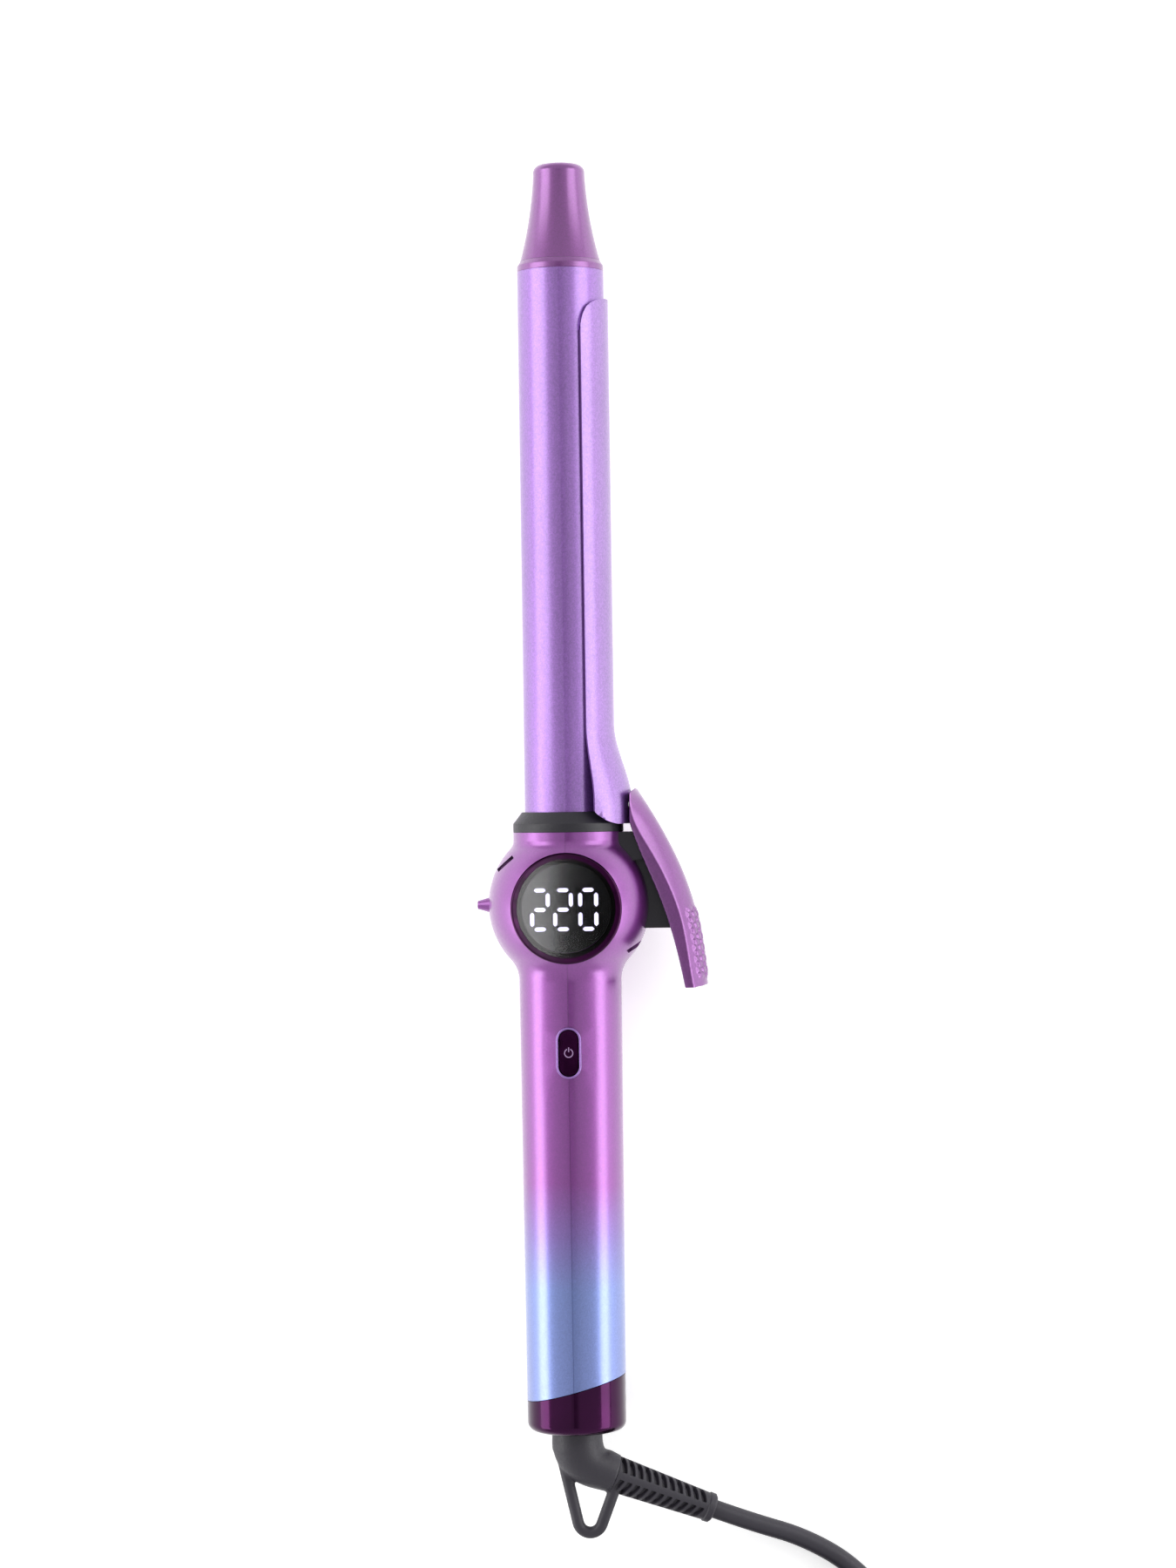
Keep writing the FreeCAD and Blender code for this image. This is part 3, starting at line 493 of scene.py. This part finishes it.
def lathe(name, corners):
    """Ring-shaped body turned about the iron's axis from a rounded (r, y) outline in mm."""
    outline = fillet_outline(corners)
    count = len(outline)
    verts, faces = [], []
    for i in range(LATHE_SEGMENTS):
        angle = 2 * math.pi * i / LATHE_SEGMENTS
        for point in outline:
            r = point.x * MM
            verts.append((r * math.cos(angle), point.y * MM, AXIS_Z + r * math.sin(angle)))
    for i in range(LATHE_SEGMENTS):
        a, b = i * count, ((i + 1) % LATHE_SEGMENTS) * count
        for k in range(count):
            n = (k + 1) % count
            faces.append((a + k, b + k, b + n, a + n))
    return mesh_piece(name, verts, faces)


def make_cord(boot):
    """The mains cord in one piece, from the boot through the coil to the plug."""
    points = CORD_OUT + coil_points() + CORD_TAIL
    cord = nurbs("mains_cord", points, CORD_D / 2)
    own(cord, "cord_swivel", "black_rubber", "power_cord", "cord_coil", "cord_tail")


def boot_depth(s, angle):
    """How far the boot's surface is cut in at s mm along it and angle from its spine."""
    away = math.degrees(abs(math.atan2(math.sin(angle), math.cos(angle))))
    side = away if away < 90 else 180 - away
    along = s + BOOT_LEAN * min(away, 180 - away) * BOOT_ARC
    slot = (along - BOOT_FIRST) / BOOT_PITCH
    if side < BOOT_SPINE or side > BOOT_FLANK or not -0.5 < slot < BOOT_SLOTS - 0.5:
        return 0.0
    off = abs(slot - round(slot)) * BOOT_PITCH
    wall = smooth_step((BOOT_SLOT_W / 2 + BOOT_SLOT_EDGE / 2 - off) / BOOT_SLOT_EDGE)
    ends = smooth_step((side - BOOT_SPINE) / BOOT_SPINE_EDGE)
    ends *= smooth_step((BOOT_FLANK - side) / BOOT_SPINE_EDGE)
    return BOOT_CUT * wall * ends


def make_boot():
    """Tapered flexible boot with two rows of bending slots on each face and a plain end collar."""
    start, end = Vector(BOOT_START), Vector(BOOT_END)
    along = (end - start).normalized()
    face = Vector(BOOT_FACE)
    up = (face - along * along.dot(face)).normalized()
    side = along.cross(up)
    length = (end - start).length
    rows, turns = BOOT_ROWS, BOOT_SIDES
    verts, faces = [], []
    for i in range(rows + 1):
        s = length * i / rows
        r = BOOT_R[0] + (BOOT_R[1] - BOOT_R[0]) * s / length
        r += BOOT_COLLAR_RISE * smooth_step((s - length + BOOT_COLLAR) / BOOT_COLLAR_EDGE)
        r -= BOOT_END_ROUND * smooth_step((s - length + BOOT_END_ROUND) / BOOT_END_ROUND)
        for k in range(turns):
            angle = 2 * math.pi * k / turns
            reach = r - boot_depth(s, angle)
            point = start + along * s + (up * math.cos(angle) + side * math.sin(angle)) * reach
            verts.append(point * MM)
    for i in range(rows):
        for k in range(turns):
            n = (k + 1) % turns
            a, b = i * turns, (i + 1) * turns
            faces.append((a + k, a + n, b + n, b + k))
    for ring, point, flip in ((0, start, False), (rows * turns, end, True)):
        hub = len(verts)
        verts.append(point * MM)
        for k in range(turns):
            edge = (ring + k, ring + (k + 1) % turns)
            faces.append((hub, *edge) if flip else (hub, *reversed(edge)))
    boot = mesh_piece("ribbed_boot", verts, faces)
    return own(boot, "cord_swivel", "black_rubber", "strain_sleeve")


def copied(name, node):
    """Copy of a CAD part's mesh, in the frame's own coordinates."""
    source = NODES[node]
    data = source.data.copy()
    data.transform(source.matrix_world)
    piece = bpy.data.objects.new(name, data)
    bpy.context.scene.collection.objects.link(piece)
    return piece


def modified(piece):
    """The mesh of a piece with its modifiers applied."""
    depsgraph = bpy.context.evaluated_depsgraph_get()
    return bpy.data.meshes.new_from_object(piece.evaluated_get(depsgraph))


def turn_faces_out(data):
    """Make every face of a closed mesh look outwards."""
    solid = bmesh.new()
    solid.from_mesh(data)
    bmesh.ops.recalc_face_normals(solid, faces=solid.faces)
    solid.to_mesh(data)
    solid.free()


def remeshed(name, node, rounds):
    """Copy of a CAD part with an even, softened surface."""
    piece = copied(name + "_blank", node)
    even = piece.modifiers.new("even", "REMESH")
    even.mode = "VOXEL"
    even.voxel_size = VOXEL
    soft = piece.modifiers.new("soft", "SMOOTH")
    soft.factor = 0.5
    soft.iterations = rounds
    result = modified(piece)
    bpy.data.objects.remove(piece)
    soft_piece = bpy.data.objects.new(name, result)
    bpy.context.scene.collection.objects.link(soft_piece)
    return soft_piece


def make_clip():
    """Clip plate with its upper tip corner cut to a long round."""
    clip = copied("round_clip", "clip_plate")
    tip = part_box("clip_plate")[1].y / MM
    (x0, y0), (x1, y1) = (CORNER_X[0], tip - CORNER_DROP), (CORNER_X[1], tip)
    edge, top = x0 - CUTTER_MARGIN[0], tip + CUTTER_MARGIN[1]
    outline = [(edge, y0), (x0, y0)]
    for k in range(1, CORNER_STEPS + 1):
        angle = math.pi / 2 * k / CORNER_STEPS
        outline.append((x1 - (x1 - x0) * math.cos(angle), y0 + (y1 - y0) * math.sin(angle)))
    outline += [(x1, top), (edge, top)]
    levels = (AXIS_Z, AXIS_Z + CUTTER_HEIGHT)
    verts = [(x * MM, y * MM, z) for z in levels for x, y in outline]
    count = len(outline)
    faces = [tuple(range(count)), tuple(range(2 * count - 1, count - 1, -1))]
    for i in range(count):
        n = (i + 1) % count
        faces.append((i, count + i, count + n, n))
    cutter = mesh_piece("corner_cutter", verts, faces)
    turn_faces_out(cutter.data)
    cut = clip.modifiers.new("cut", "BOOLEAN")
    cut.operation = "DIFFERENCE"
    cut.solver = "EXACT"
    cut.object = cutter
    result = modified(clip)
    clip.modifiers.clear()
    clip.data = result
    bpy.data.objects.remove(cutter)
    own(clip, "clip_lever", "clip_lilac", "clip_plate")


def make_elbow():
    """Swivel elbow with softened edges."""
    elbow = remeshed("soft_elbow", "swivel_elbow", ELBOW_ROUNDS)
    own(elbow, "cord_swivel", "black_rubber", "swivel_elbow")


def relief(y, z):
    """Height of the lever's raised pattern of small diamonds, from 0 to 1."""
    across = (z - AXIS_Z) / MM
    one = math.cos(math.pi * (y + across) / RELIEF_PITCH)
    other = math.cos(math.pi * (y - across) / RELIEF_PITCH)
    return smooth_step(RELIEF_GAIN * abs(one * other))


def make_lever():
    """Thumb lever with softened edges and a raised grip pattern on its outer face."""
    lever = remeshed("soft_lever", "thumb_lever", LEVER_ROUNDS)
    low, high = RELIEF_Y
    for vertex, normal in [(v, v.normal.copy()) for v in lever.data.vertices]:
        y = vertex.co.y / MM
        crest = LEVER_CREST[0] - LEVER_LEAN * (y - LEVER_CREST[1])
        band = smooth_step((y - low) / RELIEF_EDGE) * smooth_step((high - y) / RELIEF_EDGE)
        across = abs(vertex.co.z - AXIS_Z) / MM
        half = smooth_step((RELIEF_HALF_W - across) / RELIEF_SIDE_EDGE)
        if band * half <= 0 or normal.x < RELIEF_FACING:
            continue
        if vertex.co.x / MM < crest - LEVER_DEPTH:
            continue
        vertex.co += normal * (RELIEF_HEIGHT * MM * band * half * relief(y, vertex.co.z))
    own(lever, "clip_lever", "tip_purple", "thumb_lever", "lever_grip_bars")


def stroke_outline(length, width):
    """Pointed-end bar lying along x, centred."""
    half, tip = length / 2, width / 2
    return [
        (-half, 0), (-half + tip, tip), (half - tip, tip),
        (half, 0), (half - tip, -tip), (-half + tip, -tip),
    ]


def make_digits():
    """Lit seven-bar digits behind the lens."""
    low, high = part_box("display_digits")
    verts, faces = [], []
    reach = DIGIT_H / 4
    bars = {
        "a": (0, 2 * reach, False), "g": (0, 0, False), "d": (0, -2 * reach, False),
        "f": (-DIGIT_W / 2, reach, True), "b": (DIGIT_W / 2, reach, True),
        "e": (-DIGIT_W / 2, -reach, True), "c": (DIGIT_W / 2, -reach, True),
    }
    for centre, lit in zip(DIGIT_X, DIGITS_LIT):
        for bar in lit:
            x, y, upright = bars[bar]
            length = DIGIT_H / 2 - DIGIT_GAP_UP if upright else DIGIT_W - DIGIT_GAP_ACROSS
            outline = stroke_outline(length, DIGIT_STROKE)
            base = len(verts)
            for level in (low.z, high.z):
                for u, v in outline:
                    u, v = (v, u) if upright else (u, v)
                    verts.append(((centre + x + u) * MM, (DIGIT_MID_Y + y + v) * MM, level))
            count = len(outline)
            faces.append(tuple(base + i for i in reversed(range(count))))
            faces.append(tuple(base + count + i for i in range(count)))
            for i in range(count):
                n = (i + 1) % count
                faces.append((base + i, base + n, base + count + n, base + count + i))
    digits = mesh_piece("lit_strokes", verts, faces)
    turn_faces_out(digits.data)
    own(digits, "handle", "digit_white", "display_digits")


def make_turned():
    """Collar and tip ring with their corners eased."""
    collar = lathe("eased_collar", COLLAR_CORNERS)
    own(collar, "handle", "black_plastic", "heat_collar")
    band = lathe("eased_ring", RING_CORNERS)
    own(band, "handle", "tip_purple", "tip_ring")


def make_rim_edge():
    """Polished bead around the top of the power button's rim."""
    half_w = (RIM_HIGH.x - RIM_LOW.x) / 2 - BEAD_R
    reach = (RIM_HIGH.y - RIM_LOW.y) / 2 - BEAD_R - half_w
    middle = (RIM_LOW + RIM_HIGH) / 2
    top = RIM_HIGH.z - BEAD_SINK * BEAD_R
    path = []
    for end, start_angle in ((1, 0), (-1, math.pi)):
        centre = Vector((middle.x, middle.y + end * reach, top))
        for k in range(BEAD_STEPS + 1):
            angle = start_angle + math.pi * k / BEAD_STEPS
            out = Vector((math.cos(angle), math.sin(angle), 0))
            path.append((centre + out * half_w, out))
    verts, faces = [], []
    up = Vector((0, 0, 1))
    for place, out in path:
        for k in range(BEAD_SIDES):
            angle = 2 * math.pi * k / BEAD_SIDES
            verts.append(place + (out * math.cos(angle) + up * math.sin(angle)) * BEAD_R)
    for i in range(len(path)):
        a, b = i * BEAD_SIDES, (i + 1) % len(path) * BEAD_SIDES
        for k in range(BEAD_SIDES):
            n = (k + 1) % BEAD_SIDES
            faces.append((a + k, b + k, b + n, a + n))
    own(mesh_piece("rim_bead", verts, faces), "handle", "barrel_lilac")


def make_light(name, place, aim, size, power):
    data = bpy.data.lights.new(name, "AREA")
    data.shape = "RECTANGLE"
    data.size, data.size_y = size
    data.energy = power
    light = bpy.data.objects.new(name, data)
    bpy.context.scene.collection.objects.link(light)
    light.location = place
    direction = Vector(aim) - Vector(place)
    light.rotation_euler = direction.to_track_quat("-Z", "Y").to_euler()


def make_studio():
    """Pale floor, soft lights on both sides, a small one for the lens and a bright surround."""
    half = FLOOR_HALF
    corners = [(-half, -half, 0), (half, -half, 0), (half, half, 0), (-half, half, 0)]
    floor = mesh_piece("floor", corners, [(0, 1, 2, 3)])
    material, tree, principled, place = shader("floor_paper")
    stops = tones((0.90, 0.90, 0.90), (0.93, 0.93, 0.93))
    tree.links.new(ramp(tree, noise(tree, place, 8, 3), stops), principled.inputs["Base Color"])
    principled.inputs["Roughness"].default_value = 0.9
    principled.inputs["Emission Color"].default_value = (1, 1, 1, 1)
    principled.inputs["Emission Strength"].default_value = FLOOR_GLOW
    floor.data.materials.append(material)
    for light in LIGHTS:
        make_light(*light)
    world = bpy.data.worlds.new("surround")
    world.use_nodes = True
    tree = world.node_tree
    split = tree.nodes.new("ShaderNodeSeparateXYZ")
    direction = tree.nodes.new("ShaderNodeTexCoord").outputs["Generated"]
    tree.links.new(direction, split.inputs["Vector"])
    stops = [(height, (level,) * 3) for height, level in SURROUND]
    sky = ramp(tree, split.outputs["Z"], stops)
    tree.links.new(sky, tree.nodes["Background"].inputs["Color"])
    bpy.context.scene.world = world
    bpy.context.scene.view_settings.view_transform = "Standard"


make_camera()
make_cord(make_boot())
make_elbow()
make_lever()
make_digits()
make_clip()
make_turned()
make_rim_edge()
for node, piece in NODES.items():
    dress(piece, SLOT_OF[node])
make_studio()
